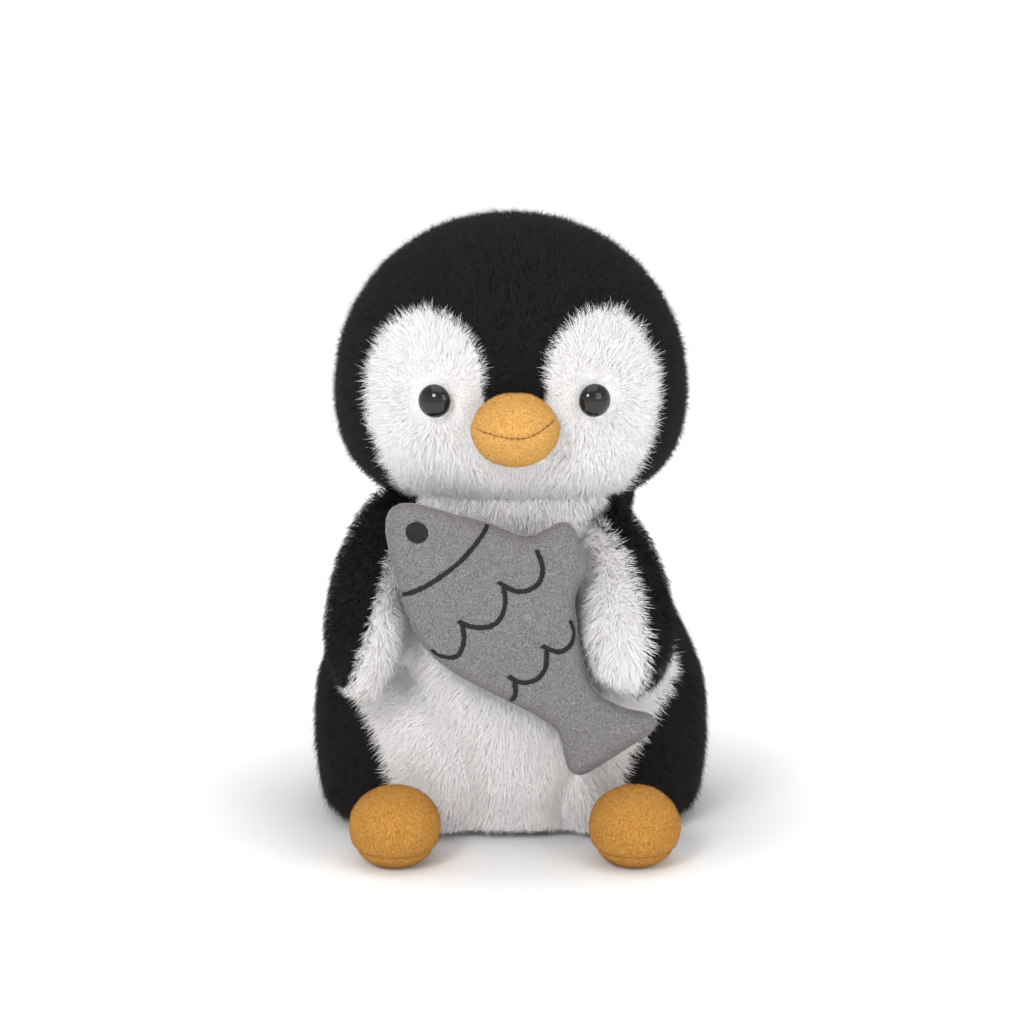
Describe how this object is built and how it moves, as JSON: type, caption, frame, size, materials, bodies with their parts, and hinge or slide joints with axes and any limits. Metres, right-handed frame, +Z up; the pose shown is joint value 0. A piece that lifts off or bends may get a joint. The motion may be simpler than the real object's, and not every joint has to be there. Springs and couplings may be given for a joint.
{
  "type": "plush penguin",
  "caption": "Seated plush penguin with a round head, white face and belly, stubby orange beak and feet, two wings, and a flat plush fish held diagonally in front.",
  "frame": {"origin": "on the surface it sits on, under the middle of its box", "axes": "+Z up, the penguin faces -Y, its left side is +X"},
  "size_m": [0.1482, 0.1666, 0.224],
  "materials": {
    "black_pile": "dense black plush pile, about 6 mm long, brushed downwards",
    "white_pile": "soft white plush pile, 6 to 8 mm long",
    "orange_nap": "golden orange short-nap suede-like cloth",
    "grey_nap": "mottled grey short-nap suede-like cloth",
    "dark_thread": "black embroidery thread",
    "polyester_filling": "white fibre filling",
    "pellet_bag_cloth": "plain woven bag of plastic pellets",
    "base_cloth": "black short-pile cloth",
    "satin_tape": "blank satin tape",
    "glossy_black_plastic": "polished black safety eye",
    "washer_plastic": "moulded lock washer"
  },
  "bodies": {
    "torso": {"belly_panel": "white_pile", "back_panel_left": "black_pile", "back_panel_right": "black_pile", "base_panel": "base_cloth", "torso_stuffing": "polyester_filling", "pellet_bag": "pellet_bag_cloth", "closing_thread": "dark_thread", "care_label": "satin_tape"},
    "neck": {"neck_stuffing": "polyester_filling"},
    "head": {"head_shell_left": "black_pile", "head_shell_right": "black_pile", "face_panel": "white_pile", "head_stuffing": "polyester_filling", "eye_left": "glossy_black_plastic", "eye_right": "glossy_black_plastic", "eye_washer_left": "washer_plastic", "eye_washer_right": "washer_plastic", "beak_upper": "orange_nap", "beak_lower": "orange_nap", "beak_stuffing": "polyester_filling", "mouth_thread": "dark_thread"},
    "tail": {"tail_upper": "black_pile", "tail_lower": "black_pile", "tail_stuffing": "polyester_filling"},
    "wing_left": {"wing_left_outer": "black_pile", "wing_left_lining": "white_pile", "wing_left_stuffing": "polyester_filling"},
    "wing_right": {"wing_right_outer": "black_pile", "wing_right_lining": "white_pile", "wing_right_stuffing": "polyester_filling"},
    "foot_left": {"foot_left_upper": "orange_nap", "foot_left_sole": "orange_nap", "foot_left_stuffing": "polyester_filling"},
    "foot_right": {"foot_right_upper": "orange_nap", "foot_right_sole": "orange_nap", "foot_right_stuffing": "polyester_filling"},
    "fish": {"fish_front": "grey_nap", "fish_back": "grey_nap", "fish_stuffing": "polyester_filling", "fish_eye_patch": "dark_thread", "fish_gill_thread": "dark_thread", "fish_scale_thread_upper": "dark_thread", "fish_scale_thread_lower": "dark_thread", "fish_tack_thread": "grey_nap"}
  },
  "joints": [
    {"name": "head_nod", "type": "hinge", "parent": "torso", "child": "neck", "pos_m": [0, 0.01225, 0.115], "axis": [1, 0, 0], "range_deg": [-6, 6], "stiffness_Nm_per_rad": 0.8},
    {"name": "head_turn", "type": "hinge", "parent": "neck", "child": "head", "pos_m": [0, 0.01225, 0.115], "axis": [0, 0, 1], "range_deg": [-15, 15], "stiffness_Nm_per_rad": 0.4},
    {"name": "wing_left_swing", "type": "hinge", "parent": "torso", "child": "wing_left", "pos_m": [0.03904, -0.02879, 0.10722], "axis": [0, -1, 0], "range_deg": [0, 50], "stiffness_Nm_per_rad": 0.06},
    {"name": "wing_right_swing", "type": "hinge", "parent": "torso", "child": "wing_right", "pos_m": [-0.04821, -0.02364, 0.10733], "axis": [0, 1, 0], "range_deg": [0, 50], "stiffness_Nm_per_rad": 0.06},
    {"name": "foot_left_flex", "type": "hinge", "parent": "torso", "child": "foot_left", "pos_m": [0.042, -0.05125, 0.0134], "axis": [-1, 0, 0], "range_deg": [0, 15], "stiffness_Nm_per_rad": 0.2},
    {"name": "foot_right_flex", "type": "hinge", "parent": "torso", "child": "foot_right", "pos_m": [-0.043, -0.04925, 0.0134], "axis": [-1, 0, 0], "range_deg": [0, 15], "stiffness_Nm_per_rad": 0.2},
    {"name": "tail_flex", "type": "hinge", "parent": "torso", "child": "tail", "pos_m": [0, 0.06925, 0.021], "axis": [1, 0, 0], "range_deg": [-5, 5], "stiffness_Nm_per_rad": 0.05},
    {"name": "fish_lift", "type": "hinge", "parent": "torso", "child": "fish", "pos_m": [-0.01, -0.04544, 0.104], "axis": [-1, 0, 0], "range_deg": [0, 12], "stiffness_Nm_per_rad": 0.1}
  ]
}
